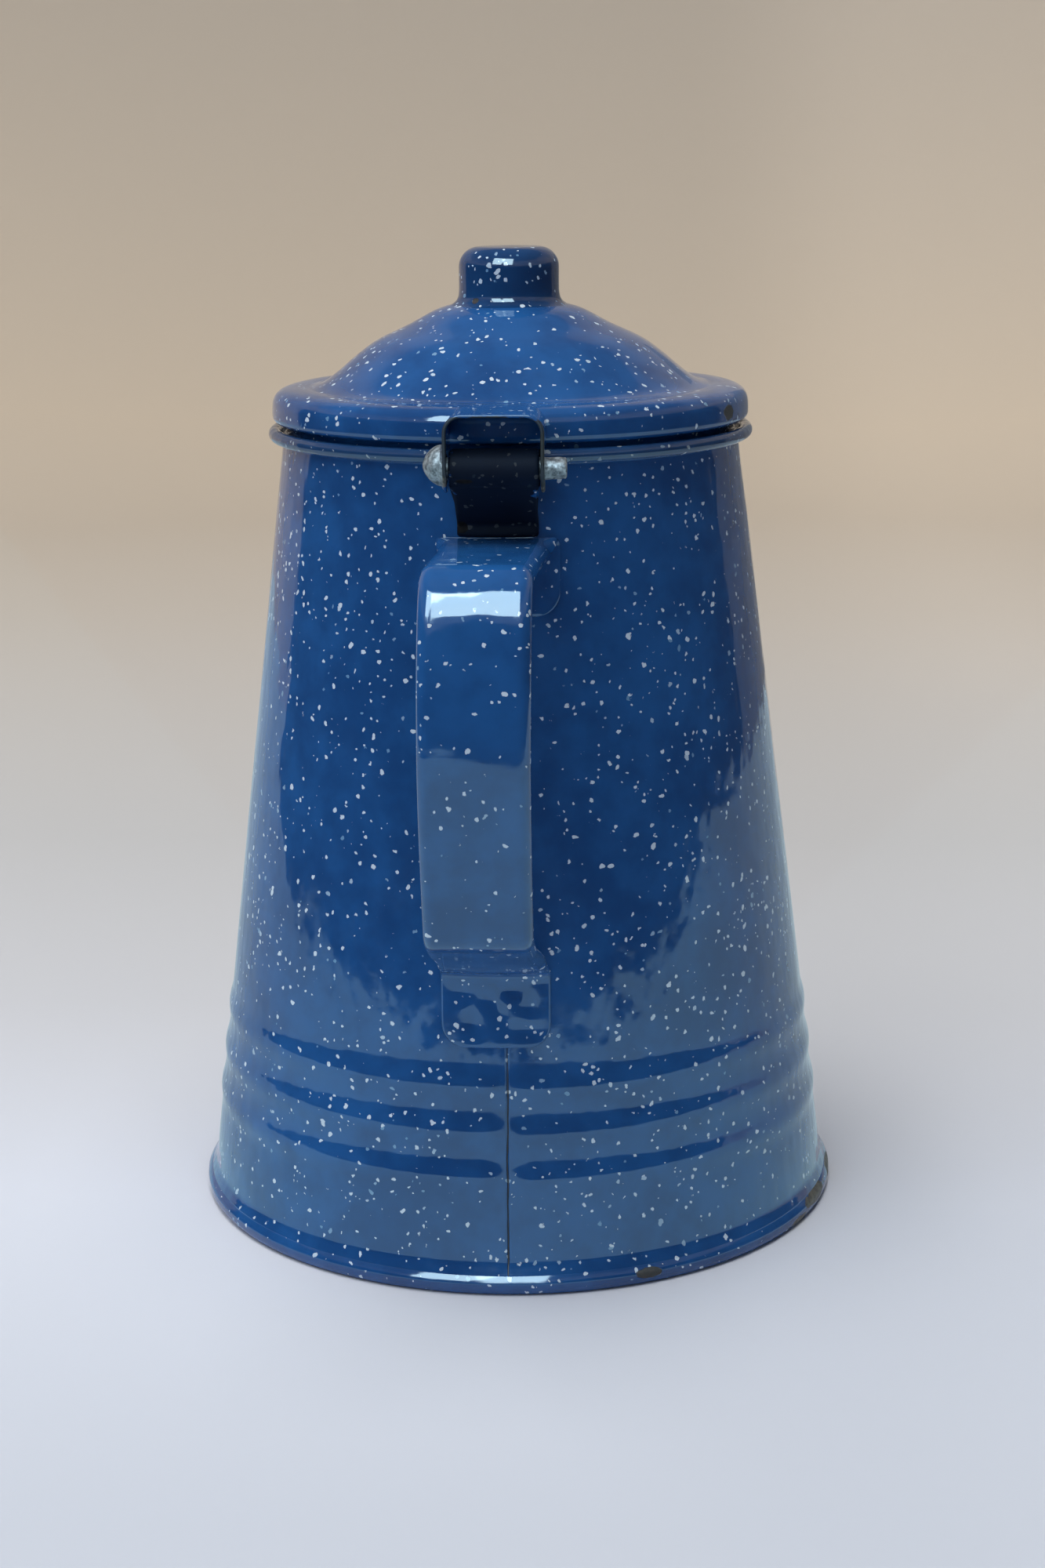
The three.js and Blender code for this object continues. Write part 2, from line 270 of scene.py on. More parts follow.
class Shader:
    """A material's node tree, with short calls for the nodes that it is made of."""

    def __init__(self, name):
        self.material = bpy.data.materials.new(name)
        self.material.use_nodes = True
        self.tree = self.material.node_tree
        self.bsdf = self.tree.nodes["Principled BSDF"]
        self.place = self.node("TexCoord").outputs["Object"]

    def node(self, kind, settings=None, **inputs):
        made = self.tree.nodes.new("ShaderNode" + kind)
        for key, value in (settings or {}).items():
            setattr(made, key, value)
        for key, value in inputs.items():
            self.put(made.inputs[key.replace("_", " ")], value)
        return made

    def put(self, socket, value):
        if isinstance(value, bpy.types.NodeSocket):
            self.tree.links.new(value, socket)
        else:
            socket.default_value = value

    def math(self, operation, *values, clamp=False):
        made = self.node("Math", {"operation": operation, "use_clamp": clamp})
        for socket, value in zip(made.inputs, values):
            self.put(socket, value)
        return made.outputs[0]

    def vector(self, operation, *values):
        made = self.node("VectorMath", {"operation": operation})
        for socket, value in zip(made.inputs, values):
            self.put(socket, value)
        return made.outputs["Value" if operation in ("LENGTH", "DOT_PRODUCT", "DISTANCE") else "Vector"]

    def noise(self, size_mm, detail=2.0, place=None, roughness=0.5, output="Fac"):
        made = self.node("TexNoise", Scale=1 / (size_mm * MM), Detail=detail, Roughness=roughness)
        self.put(made.inputs["Vector"], place or self.place)
        return made.outputs[output]

    def ramp(self, value, start, end, low_value=0.0, high_value=1.0):
        made = self.node("MapRange", {"interpolation_type": "SMOOTHSTEP"})
        ends = {"From Min": start, "From Max": end, "To Min": low_value, "To Max": high_value}
        for key, item in {"Value": value, **ends}.items():
            self.put(made.inputs[key], item)
        return made.outputs["Result"]

    def mix(self, factor, a, b):
        made = self.node("Mix", {"data_type": "RGBA"})
        for index, value in ((0, factor), (6, a), (7, b)):
            self.put(made.inputs[index], value)
        return made.outputs[2]

    def larger(self, masks):
        joined = masks[0]
        for mask in masks[1:]:
            joined = self.math("MAXIMUM", joined, mask)
        return joined

    def blot(self, centre, size, ragged=0.35, grain_mm=1.3):
        """1 inside a ragged blot at a point, in millimetres, with this half size along each axis."""
        offset = self.vector("SUBTRACT", self.place, tuple(c * MM for c in centre))
        scaled = self.vector("DIVIDE", offset, tuple(s * MM for s in size))
        reach = self.vector("LENGTH", scaled)
        edge = self.math("MULTIPLY_ADD", self.noise(grain_mm, 3), 2 * ragged, -ragged)
        return self.ramp(self.math("ADD", reach, edge), 1.0, 0.86)


DEEP_BLUE = (0.0075, 0.054, 0.190, 1)
BRIGHT_BLUE = (0.0130, 0.088, 0.280, 1)
SPECK_WHITE = (0.54, 0.66, 0.77, 1)
SPECK_SUNK = (0.12, 0.27, 0.46, 1)
RIM_SHADE = (0.012, 0.024, 0.045, 1)
GREASE, RUBBED = (0.020, 0.017, 0.013, 1), (0.115, 0.105, 0.085, 1)
SOOT_AND_SHADE = (0.0035, 0.0038, 0.006, 1)
WORN_EDGE_AND_HIGHLIGHT = (0.20, 0.27, 0.38, 1)
BARE_STEEL = (0.016, 0.009, 0.007, 1)
RUST = (0.030, 0.015, 0.012, 1)
DULL_METAL, CLEAN_METAL = (0.10, 0.105, 0.115, 1), (0.40, 0.41, 0.43, 1)
SPECK_SPACING, SPECK_SMALLEST, SPECK_LARGEST = 1.8, 0.22, 0.64
SPECK_RAGGED, SPECK_STRETCH = 0.7, 1.6  # how far the specks' outlines are pushed about, in mm


def specks(s, sparse=()):
    """White specks of many sizes, thicker in some places, as a mask and a random value for each speck.

    sparse lists blots, as (centre, half size) in mm, where few specks fell.
    """
    jitter = s.vector("SUBTRACT", s.noise(0.8, 2, output="Color"), (0.5, 0.5, 0.5))
    stretch = s.vector("SUBTRACT", s.noise(2.6, 1, output="Color"), (0.5, 0.5, 0.5))
    place = s.vector("ADD", s.place, s.vector("MULTIPLY", jitter, (SPECK_RAGGED * MM,) * 3))
    place = s.vector("ADD", place, s.vector("MULTIPLY", stretch, (SPECK_STRETCH * MM,) * 3))
    cells = s.node("TexVoronoi", Vector=place, Scale=1 / (SPECK_SPACING * MM), Randomness=1.0)
    chance = s.node("SeparateColor", Color=cells.outputs["Color"])
    size, kept, sunk = chance.outputs[0], chance.outputs[1], chance.outputs[2]
    crowd = s.ramp(s.noise(13, 2), 0.34, 0.62, 0.30, 0.92)
    spread = SPECK_LARGEST - SPECK_SMALLEST
    radius = s.math("MULTIPLY_ADD", s.math("POWER", size, 1.7), spread, SPECK_SMALLEST)
    gap = s.math("SUBTRACT", s.math("DIVIDE", radius, SPECK_SPACING), cells.outputs["Distance"])
    inside = s.ramp(gap, 0.0, 0.05)
    if sparse:
        bare = s.larger([s.blot(centre, size) for centre, size in sparse])
        crowd = s.math("MULTIPLY", crowd, s.math("MULTIPLY_ADD", bare, -0.72, 1.0))
    present = s.math("LESS_THAN", kept, crowd)
    return s.math("MULTIPLY", inside, present), sunk


def enamel(name, chips=(), worn=(), dark=(), sparse=(), seam=False, edges=False, depth=1.0, gloss=0.5):
    """Glossy blue enamel with white specks.

    chips, worn, dark and sparse are lists of (centre, half size) in mm: bare steel, rubbed enamel,
    soot-black that also stands for painted shade, and places with few specks. seam adds the wall's seam and
    its upright runs, and paints shade on the rim under the lid; edges lightens sharp edges with a painted
    highlight and wear, depth scales the blue, and gloss is the specular level.
    """
    s = Shader(name)
    broad = s.math("MULTIPLY", s.noise(38, 2), 0.6)
    tone = s.ramp(s.math("MULTIPLY_ADD", s.noise(7, 4), 0.45, broad), 0.36, 0.70)
    deep, bright = ((*(depth * channel for channel in blue[:3]), 1) for blue in (DEEP_BLUE, BRIGHT_BLUE))
    colour = s.mix(tone, deep, bright)
    speck, sunk = specks(s, sparse)
    white = s.mix(s.ramp(sunk, 0.72, 1.0), SPECK_WHITE, SPECK_SUNK)
    colour = s.mix(speck, colour, white)
    dull = s.ramp(s.noise(22, 3), 0.45, 0.8, 0.0, 0.05)
    roughness = s.math("ADD", dull, s.ramp(s.noise(1.7, 2), 0.3, 0.8, 0.045, 0.10))
    height = s.math("MULTIPLY_ADD", s.noise(3.4, 2), 0.012, s.math("MULTIPLY", s.noise(0.9, 2), 0.0008))
    masks = [s.blot(centre, size) for centre, size in chips]
    if seam:
        upright = s.vector("MULTIPLY", s.place, (1, 1, 0.42))
        height = s.math("MULTIPLY_ADD", s.noise(4.2, 1, upright), 0.17, height)
        masks.append(seam_line(s))
        # Painted shade: the rim bead and the top of the throat are darkened where the lid's brim overhangs
        # them.
        painted_rim_shade = s.ramp(s.vector("DOT_PRODUCT", s.place, (0, 0, 1)), 0.1752, 0.1762, 0.0, 0.55)
        colour = s.mix(painted_rim_shade, colour, RIM_SHADE)
    if masks:
        bare = s.larger(masks)
        metal = s.mix(s.ramp(s.noise(0.8, 4), 0.42, 0.68), BARE_STEEL, RUST)
        colour = s.mix(bare, colour, metal)
        roughness = s.math("MAXIMUM", roughness, s.math("MULTIPLY", bare, 0.62))
        height = s.math("SUBTRACT", height, s.math("MULTIPLY", bare, 0.12))
    if worn:
        rubbed = s.larger([s.blot(centre, size, 0.5, 2.2) for centre, size in worn])
        grey = s.mix(s.ramp(s.noise(1.2, 3), 0.35, 0.65), GREASE, RUBBED)
        colour = s.mix(rubbed, colour, grey)
        roughness = s.math("MAXIMUM", roughness, s.math("MULTIPLY", rubbed, 0.48))
    if dark:
        # Soot-black blots; on the hinge tab they also stand for painted shade under the bracket's web and a
        # painted dark reflection below the barrel.
        soot_and_shade = s.larger([s.blot(centre, size, 0.55, 2.6) for centre, size in dark])
        colour = s.mix(s.math("MULTIPLY", soot_and_shade, 0.93), colour, SOOT_AND_SHADE)
        roughness = s.math("MAXIMUM", roughness, s.math("MULTIPLY", soot_and_shade, 0.60))
    if edges:
        # Painted highlight and wear: sharp edges are lightened towards a pale grey-blue.
        sharp = s.ramp(s.node("NewGeometry").outputs["Pointiness"], 0.56, 0.68, 0.0, 0.35)
        patchy = s.ramp(s.noise(3, 3), 0.3, 0.6)
        colour = s.mix(s.math("MULTIPLY", sharp, patchy), colour, WORN_EDGE_AND_HIGHLIGHT)
    s.put(s.bsdf.inputs["Base Color"], colour)
    s.put(s.bsdf.inputs["Roughness"], roughness)
    s.bsdf.inputs["IOR"].default_value = 1.6
    s.bsdf.inputs["Specular IOR Level"].default_value = gloss
    bump = s.node("Bump", Height=height, Distance=MM, Strength=1.0)
    s.put(s.bsdf.inputs["Normal"], bump.outputs[0])
    return s.material


def seam_line(s):
    """The dark line where the wall's two edges meet, wandering a little."""
    across = s.vector("DOT_PRODUCT", s.place, (-math.sin(SEAM_ANGLE), math.cos(SEAM_ANGLE), 0))
    wander = s.math("MULTIPLY_ADD", s.noise(9, 2), 0.0007, -0.00035)
    width = s.ramp(s.noise(5, 3), 0.3, 0.7, 0.00016, 0.00030)
    line = s.ramp(s.math("ABSOLUTE", s.math("ADD", across, wander)), width, 0.00008)
    back = s.math("LESS_THAN", s.vector("DOT_PRODUCT", s.place, (0, 1, 0)), 0.0)
    height = s.vector("DOT_PRODUCT", s.place, (0, 0, 1))
    below_foot = s.ramp(height, HANDLE_LOW_Z * MM, (HANDLE_LOW_Z - 12) * MM, 0.45, 0.95)
    return s.math("MULTIPLY", s.math("MULTIPLY", line, back), below_foot)


def aluminium():
    """Dull, hammered aluminium."""
    s = Shader("rivet_aluminium")
    tone = s.ramp(s.noise(0.9, 5), 0.3, 0.7)
    s.put(s.bsdf.inputs["Base Color"], s.mix(tone, DULL_METAL, CLEAN_METAL))
    s.put(s.bsdf.inputs["Roughness"], s.ramp(s.noise(0.7, 3), 0.3, 0.7, 0.48, 0.72))
    s.bsdf.inputs["Metallic"].default_value = 0.75
    pits = s.node("TexVoronoi", Vector=s.place, Scale=1 / (0.7 * MM))
    grain = s.math("MULTIPLY", s.noise(0.35, 4), 0.05)
    height = s.math("MULTIPLY_ADD", pits.outputs["Distance"], 0.05, grain)
    bump = s.node("Bump", Height=height, Distance=MM, Strength=0.8)
    s.put(s.bsdf.inputs["Normal"], bump.outputs[0])
    return s.material


# ---- Pot ----

def rib_bulge(z):
    """How far the ribs push the wall out at a height."""
    across = [np.clip((z - crest) / RIB_HALF, -1, 1) for crest in RIB_Z]
    return sum(RIB_HEIGHT * np.cos(place * math.pi / 2) ** 2 for place in across)


def body_wall():
    """The rolled cone, with its ribs, rolled rim, seam and strainer holes."""
    flange = [(73.15, HEM_Z - 0.3), (72.75, HEM_Z + 0.5), (wall_r(6.6) + 0.08, 6.6), (wall_r(8.4), 8.4)]
    flare = [(wall_r(RIM_START), RIM_START), (wall_r(175), 175), (RIM_R - 1.42, RIM_Z - 1.0)]
    under_rim = [(RIM_R - 1.75, RIM_Z - 0.5), (RIM_R - 2.3, RIM_Z - 1.1)]
    throat = [*under_rim, (50.2, 174.5), (wall_r(172) - SHEET, 172)]
    outer = np.vstack((
        [(wall_r(WALL_BOTTOM_Z) - SHEET, WALL_BOTTOM_Z), (73.0, WALL_BOTTOM_Z)],
        spline(flange, 5),
        spaced(np.array([(wall_r(9), 9), (wall_r(RIM_START - 1), RIM_START - 1)]), 1.3),
        spline(flare, 4),
        arc((RIM_R, RIM_Z), RIM_BEAD, -148, 180, 38),
        spline(throat, 4),
        spaced(np.array([(wall_r(171) - SHEET, 171), (wall_r(4) - SHEET, 4)]), 2.2),
    ))
    one_side = np.array((0.08, 0.17, 0.27, 0.4, 0.6, 0.9, 1.4, 2.2, 3.4))
    near_seam = np.radians(np.concatenate((-one_side[::-1], [0.0], one_side)))
    around = full_turn(216)
    clear = np.abs((around - SEAM_ANGLE + math.pi) % (2 * math.pi) - math.pi) > math.radians(3.8)
    angles = np.sort(np.concatenate((around[clear], SEAM_ANGLE + near_seam)))

    def warp(r, z, angle):
        from_seam = ((angle - SEAM_ANGLE + math.pi) % (2 * math.pi) - math.pi) * r
        free = smooth(9, 22, z) * smooth(RIM_START, RIM_START - 16, z)
        x, y = r * np.cos(angle), r * np.sin(angle)
        dents = 0.15 * wobble(x, y, z * 0.45, 26, 3.1) + 0.05 * wobble(x, y, z * 0.5, 11, 8.7)
        flattened = 1 - 0.8 * np.exp(-((from_seam / 3.6) ** 2))
        pressed = rib_bulge(z + 0.5 * smooth(0, 3, from_seam)) * flattened
        weld = 0.10 * np.exp(-((from_seam / 2.4) ** 2)) - 0.30 * np.exp(-((from_seam / 0.26) ** 2))
        welded = smooth(4.5, 8, z) * smooth(RIM_START + 3, RIM_START - 2, z)
        return r + dents * free + pressed + weld * welded, z

    verts, faces = turned(outer, angles, warp=warp)
    chips = [((27, -48.7, 171.5), (1.6, 1.2, 0.5))]
    material = enamel("wall_enamel", seam=True, chips=chips)
    wall = make_piece("body_wall_shell", verts, faces, material, "pot", "body_wall")
    pierce(wall, strainer_drill())


def strainer_drill():
    """One mesh of rods through the wall behind the spout: a triangle of holes, as in the CAD."""
    rows, first_z, pitch_x, pitch_z, hole_r, sides_round, reach = 6, 122, 5.0, 6.0, 1.6, 24, 5
    verts, faces = [], []
    for row in range(rows):
        for i in range(row + 1):
            z = first_z + row * pitch_z
            circle = arc(((i - row / 2) * pitch_x, z), hole_r, 0, 345, sides_round - 1)
            ends = (wall_r(z) - reach, wall_r(z) + reach)
            rings = [np.column_stack((circle[:, 0], np.full(sides_round, y), circle[:, 1])) for y in ends]
            points, sides = swept(rings)
            faces += [tuple(k + len(verts) for k in face) for face in sides]
            verts += list(points)
    mesh = bpy.data.meshes.new("drill")
    mesh.from_pydata([tuple(v * MM) for v in np.array(verts)], [], faces)
    drill = bpy.data.objects.new("drill", mesh)
    bpy.context.collection.objects.link(drill)
    return drill


def pierce(piece, drill):
    """Cuts the drill's rods out of a piece and removes the drill."""
    cut = piece.modifiers.new("holes", "BOOLEAN")
    cut.operation, cut.solver, cut.object = "DIFFERENCE", "EXACT", drill
    bpy.context.view_layer.update()
    evaluated = piece.evaluated_get(bpy.context.evaluated_depsgraph_get())
    mesh = bpy.data.meshes.new_from_object(evaluated)
    piece.modifiers.clear()
    piece.data = mesh
    mesh.set_sharp_from_angle(angle=math.radians(40))
    bpy.data.objects.remove(drill)


def base_disc():
    """The flat bottom, its edge folded up round the wall's flange."""
    edge = rounded([(0, 0), (HEM_R, 0, 1.8), (HEM_R, 2.5)], 9)
    outer_turn = arc((HEM_R - 1, 2.6), 1.0, 0, 22, 2)
    slope = arc((70.03, 1.076), 4.6, 25, 45, 6)
    lip = arc((72.72, 3.76), 0.8, 52, 88, 4)
    profile = np.vstack((edge, outer_turn, slope, lip, [(72.4, 2.4), (71.5, SHEET), (0, SHEET)]))
    profile = np.vstack((spaced(profile[:1], 1), spaced(profile, 6)[1:]))

    def warp(r, z, angle):
        x, y = r * np.cos(angle), r * np.sin(angle)
        rim = smooth(HEM_R - 1.6, HEM_R - 0.4, r) * smooth(0.2, 1.2, z)
        dented = r - rim * (0.12 + 0.07 * wobble(x, y, z, 14, 5.2) + 0.035 * wobble(x, y, z, 5, 2.8))
        return dented, z - smooth(3.0, 4.4, z) * (0.10 + 0.10 * wobble(x, y, 0, 15, 1.7))

    verts, faces = turned(profile, full_turn(288), closed=False, warp=warp)
    chips = [((31.9, -67.0, 2.7), (4.0, 2.0, 1.2)), ((-52, 53, 1.2), (2.4, 2.4, 1.0))]
    worn = [((70, -24, 3.2), (4.5, 9, 1.6)), ((74, -4, 2.5), (3, 8, 2.0)), ((66, -34, 1.2), (4, 4, 1.0))]
    material = enamel("base_enamel", chips=chips, worn=worn)
    make_piece("base_disc_shell", verts, faces, material, "pot", "base_disc")


def spout():
    """A folded beak: two flat sides that meet in a round nose, welded over the strainer holes."""
    bottom_z, nose_r, top_half, brim_y = 88.5, 4.5, 24.3, 46
    levels, side_steps, nose_steps = 44, 21, 8
    first_z = bottom_z + 1.2
    start_y = wall_r(bottom_z) - 0.6

    def section(rise, inset, z):
        tip_y = start_y + (TIP_Y - start_y) * rise - inset
        radius = max(0.4, nose_r * min(1.0, 0.35 + 1.1 * rise) - inset)
        half = max(0.2, top_half * rise**0.97 - inset * 1.1)
        wall = wall_r(z)
        foot = np.array((half * 0.92, math.sqrt(wall**2 - (half * 0.92) ** 2) - 0.15))
        centre = np.array((0, tip_y - radius))
        lean = math.atan2(foot[0], centre[1] - foot[1])
        reach = math.hypot(foot[0], centre[1] - foot[1])
        if reach <= radius * 1.02:
            return None
        turn = math.pi - lean - math.acos(radius / reach)
        nose = arc(centre, radius, 90 - math.degrees(turn), 90, nose_steps)
        side = np.array([foot + (nose[0] - foot) * k / side_steps for k in range(side_steps + 1)])
        right = np.vstack((side, nose[1:]))
        left = right[::-1][1:] * (-1, 1)
        return np.vstack((right, left))

    rims = []
    for level in range(levels + 1):
        t = level / levels
        z = first_z + (SPOUT_TOP - first_z) * t
        rise = (z - bottom_z) / (SPOUT_TOP - bottom_z)
        outer = section(rise, 0.0, z)
        inner = section(rise, SHEET, z)
        if outer is None or inner is None:
            continue
        slope = (SPOUT_TOP - 172.0) / (TIP_Y - brim_y) * t**3
        ring = []
        for line in (outer, inner[::-1]):
            drop = (TIP_Y - line[:, 1]) * slope
            ring.append(np.column_stack((line, z - drop)))
        rims.append(np.vstack(ring))
    verts, faces = swept(rims)
    make_piece("spout_beak", verts, faces, enamel("spout_enamel"), "pot", "spout", sharp=50)


def handle_face():
    """The strap's left-hand face as (distance out, height), going from the upper foot to the lower."""
    wall_gap = -0.22
    foot_low, top_z = 144, 160.5
    low_out, low_z, slope = 92.6, 83, 0.5
    foot_out = wall_r(69) + wall_gap + SHEET
    return rounded([
        (wall_r(foot_low) + wall_gap, foot_low),
        (wall_r(top_z) + wall_gap, top_z, 2.0),
        (91.1, top_z, 9.8),
        (95.8, 154.1, 17.5),
        (104.9, 125.8, 85),
        (low_out, low_z, 7),
        (foot_out, low_z - (low_out - foot_out) * slope, 3),
        (wall_r(HANDLE_LOW_Z) + wall_gap + SHEET, HANDLE_LOW_Z),
    ], 1.5)


def handle_strap():
    """A strap in one piece: two flat feet on the wall, and between them a channel with rolled edges."""
    face = handle_face()
    travelled = np.concatenate(([0], np.cumsum(np.linalg.norm(np.diff(face, axis=0), axis=1))))
    length = travelled[-1]
    near_end = np.array((0, 0.08, 0.35, 0.8, 1.5, 2.4, 3.4, 4.4))
    corners = travelled[(travelled > 5) & (travelled < length - 5)]
    stations = np.concatenate((near_end, length - near_end, np.arange(5, length - 5, 1.3), corners))
    stations = np.unique(np.round(stations, 2))
    line = np.column_stack([np.interp(stations, travelled, face[:, k]) for k in (0, 1)])
    normal = normals_of(line)
    foot_corner, rolled_edge, channel_depth = 5.0, 1.9, 2.4
    upper_half, grip_half, lower_half = 12.45, 10.65, 11.2
    weld_depth = 0.60
    welds = (  # (across, height, half width, half height) of each dimple in the lower foot
        (-7.4, 65.3, 2.0, 1.3), (-5.0, 58.6, 1.5, 2.6), (-1.6, 63.8, 1.7, 1.6), (0.8, 60.6, 1.2, 3.0),
        (3.2, 65.8, 2.4, 1.1), (6.9, 62.2, 1.5, 1.9), (6.2, 57.4, 2.6, 1.3),
    )
    lean_at = (0, 14, 50, 95, length - 34, length - 17, length)
    lean_by = (0, 0, -2.2, -2.6, -2.7, -1.0, -0.9)
    rings = []
    for (out, z), (n_out, n_z), s in zip(line, normal, stations):
        from_low = length - s
        from_end = min(s, from_low)
        tuck = foot_corner - math.sqrt(max(0.0, foot_corner**2 - max(0.0, foot_corner - from_end) ** 2))
        narrowed = (grip_half - upper_half) * smooth(15, 25, s)
        widened = (lower_half - grip_half) * smooth(30, 18, from_low)
        half = upper_half + narrowed + widened - tuck
        depth = channel_depth * smooth(15, 24, s) * smooth(17, 28, from_low)
        bend = rolled_edge * min(1.0, depth / 1.6) + 0.02
        drop = max(0.0, depth - bend)
        turn = np.radians(np.linspace(0, 90, 7)) * max(0.05, min(1.0, depth / 0.9))
        side_u = half - bend + bend * np.sin(turn)
        side_v = -bend * (1 - np.cos(turn))
        edge = np.column_stack((np.append(side_u, side_u[-1]), np.append(side_v, side_v[-1] - drop - 0.01)))
        flat = np.column_stack((np.linspace(0, half - bend, 13)[:-1], np.zeros(12)))
        right = np.vstack((flat, edge))
        section = np.vstack((right[::-1][:-1] * (-1, 1), right))
        thick = 0.5 * SHEET * math.sqrt(max(0.02, 1 - (1 - min(1.0, from_end / 0.5)) ** 2))
        ring = sheet_ring(section * (-1, 1), thick, 4)
        u, v = ring[:, 0], ring[:, 1] - 0.5 * SHEET
        hug = smooth(26, 15.5, s) + smooth(28, 18, from_low)
        radius = wall_r(z)
        sag = hug * (radius - np.sqrt(radius**2 - u**2))
        dents = [np.exp(-(((u - x) / wide) ** 2 + ((z - up) / tall) ** 2)) for x, up, wide, tall in welds]
        dimple = weld_depth * sum(dents) * smooth(18, 14, from_low)
        uneven = 0.24 * wobble(u, out * 0.7, z, 13, 4.4) + 0.05 * wobble(u, out, z, 6, 2.2)
        uneven = (uneven - 0.16) * smooth(22, 32, s) * smooth(30, 40, from_low)
        shift = v - dimple + uneven
        lean = np.interp(s, lean_at, lean_by)
        rings.append(np.column_stack((u + lean, -(out + n_out * shift - sag), z + n_z * shift)))
    verts, faces = swept(rings)
    sparse = [((0, -70, 162), (16, 15, 3)), ((0, -78, 75.5), (16, 15, 8))]
    material = enamel("handle_enamel", edges=True, sparse=sparse)
    make_piece("handle_band", verts, faces, material, "pot", "handle_strap", sharp=60)


def hinge_tab():
    """A strip welded to the wall above the handle, curled round the rivet at its far end."""
    curl, half_thick, half, wall_gap = 3.45, 0.62, 9.2, 0.65
    end_z, root_z = 161.2, 163.4
    root_out = wall_r(root_z) + wall_gap
    start = math.degrees(math.atan2(PIN_Z - root_z, PIN_OUT - root_out)) - 90 + 12.5
    curled = arc((PIN_OUT, PIN_Z), curl, start, start + 318, 40)
    stem = rounded([(wall_r(end_z) + wall_gap, end_z), (root_out, root_z, 1.6), tuple(curled[0])])[:-1]
    line = spaced(np.vstack((stem, curled)), 1.0)
    wall = wall_r(root_z)
    ends = np.array((0, 0.1, 0.35, 0.7))
    rings = []
    middle = np.linspace(-half + 1.4, half - 1.4, 12)
    for x in np.concatenate((-half + ends, middle, half - ends[::-1])):
        from_side = min(1.0, (half - abs(x)) / half_thick)
        ring = sheet_ring(line, half_thick * math.sqrt(max(0.05, 1 - (1 - from_side) ** 2)), 3)
        sag = smooth(167, 162.5, ring[:, 1]) * (wall - math.sqrt(wall**2 - x**2))
        drawn_in = 1 - 0.08 * smooth(172.5, 170.5, ring[:, 1])
        rings.append(np.column_stack((x * drawn_in, sag - ring[:, 0], ring[:, 1])))
    verts, faces = swept(rings)
    # Soot-black over the whole tab, which also paints the shade under the bracket's web and the dark
    # reflection on the stem down to the handle.
    dark = [((0, -57, 165), (14, 16, 12)), ((0, -63, 176), (14, 8, 7))]
    worn = [((-7.8, -53.5, 162.6), (1.8, 3, 1.5)), ((-6, -66, 173.5), (2.0, 2, 0.6))]
    material = enamel("tab_enamel", worn=worn, dark=dark, gloss=0.03)
    make_piece("hinge_tab_strip", verts, faces, material, "pot", "hinge_tab", sharp=50)


# ---- Lid ----

def lid_outline():
    """The lid's outer face as (radius, height), from the neck's bottom edge up to the axis."""
    brim_z = 182.2
    corners = [(NECK_R, NECK_TOP - 3), (NECK_R, NECK_TOP, 1), (BRIM_R, NECK_TOP, 1.7), (BRIM_R, brim_z)]
    neck = rounded(corners, 12)[1:-1]
    brim = [(BRIM_R, brim_z), (53.15, 184.0), (52.6, 185.4), (51.6, 186.3)]
    ledge = [(50.0, 186.85), (47.8, 187.1), (46.0, 187.15), (44.1, 187.2)]
    dome = [(41.6, 188.1), (38.4, 190.4), (34.2, 193.9), (29.5, 197.2), (22.6, 200.4), (16.5, 203.6)]
    shoulder = spline([*brim, *ledge, *dome, (12, DOME_TOP)], 6)
    return np.vstack(([(NECK_R, NECK_BOTTOM)], spaced(neck, 1.5), shoulder, [(0, DOME_TOP)]))


def lid_shell():
    """The dome, brim and neck: one turned sheet with a round lip and slow dents."""
    outer = lid_outline()
    inner = shifted(outer, SHEET)
    inner[0, 1] = outer[0, 1]
    inner[-1, 0] = 0
    lip = arc((NECK_R - 0.5 * SHEET, NECK_BOTTOM + 0.5 * SHEET), 0.5 * SHEET, 180, 360, 6)
    neck = spaced(np.array([(NECK_R, NECK_BOTTOM + 0.5 * SHEET), outer[1]]), 1.5)
    inside = spaced(np.vstack((inner[:0:-1], [(NECK_R - SHEET, NECK_BOTTOM + 0.5 * SHEET)])), 2.0)
    profile = np.vstack((inside, lip[1:-1], neck, outer[2:]))

    def warp(r, z, angle):
        x, y = r * np.cos(angle), r * np.sin(angle)
        outside = smooth(6, 16, r) * smooth(NECK_BOTTOM + 6, NECK_BOTTOM + 13, z)
        free = smooth(180.5, 183.5, z)
        dents = 0.11 * wobble(x, y, z, 26, 6.3) + 0.035 * wobble(x, y, z, 10, 2.9)
        return r + dents * 0.6 * free * smooth(20, 40, r), z + (dents - 0.02) * free * outside

    verts, faces = turned(profile, full_turn(240), closed=False, warp=warp)
    chips = [((48.5, -22.4, 182.8), (2.6, 2.6, 1.75))]
    make_piece("lid_dome", verts, faces, enamel("lid_enamel", chips=chips), "lid", "lid_shell")


def lid_knob():
    """A short drum with a well rounded top, filleted to the dome."""
    foot = [(14.2, 204.15), (12.6, 204.95), (11.6, 206.0), (KNOB_R + 0.05, 207.6), (KNOB_R, 209.5)]
    top = rounded([(KNOB_R, 210), (KNOB_R, KNOB_TOP - 0.35, 4.4), (0, KNOB_TOP), (0, 200)], 8)[1:-1]
    underside = np.array([(0, 203.4), (13.4, 203.4)])
    profile = np.vstack((underside, spaced(np.vstack((spline(foot, 4), top)), 1.0)))

    def warp(r, z, angle):
        x, y = r * np.cos(angle), r * np.sin(angle)
        return r + 0.10 * (wobble(x, y, z, 9, 7.7) - 0.6) * smooth(2, 8, r), z

    verts, faces = turned(profile, full_turn(96), closed=False, warp=warp)
    chips = [((-7, -9.4, 206), (0.9, 0.9, 0.7))]
    make_piece("knob_drum", verts, faces, enamel("knob_enamel", chips=chips, depth=0.55), "lid", "lid_knob")


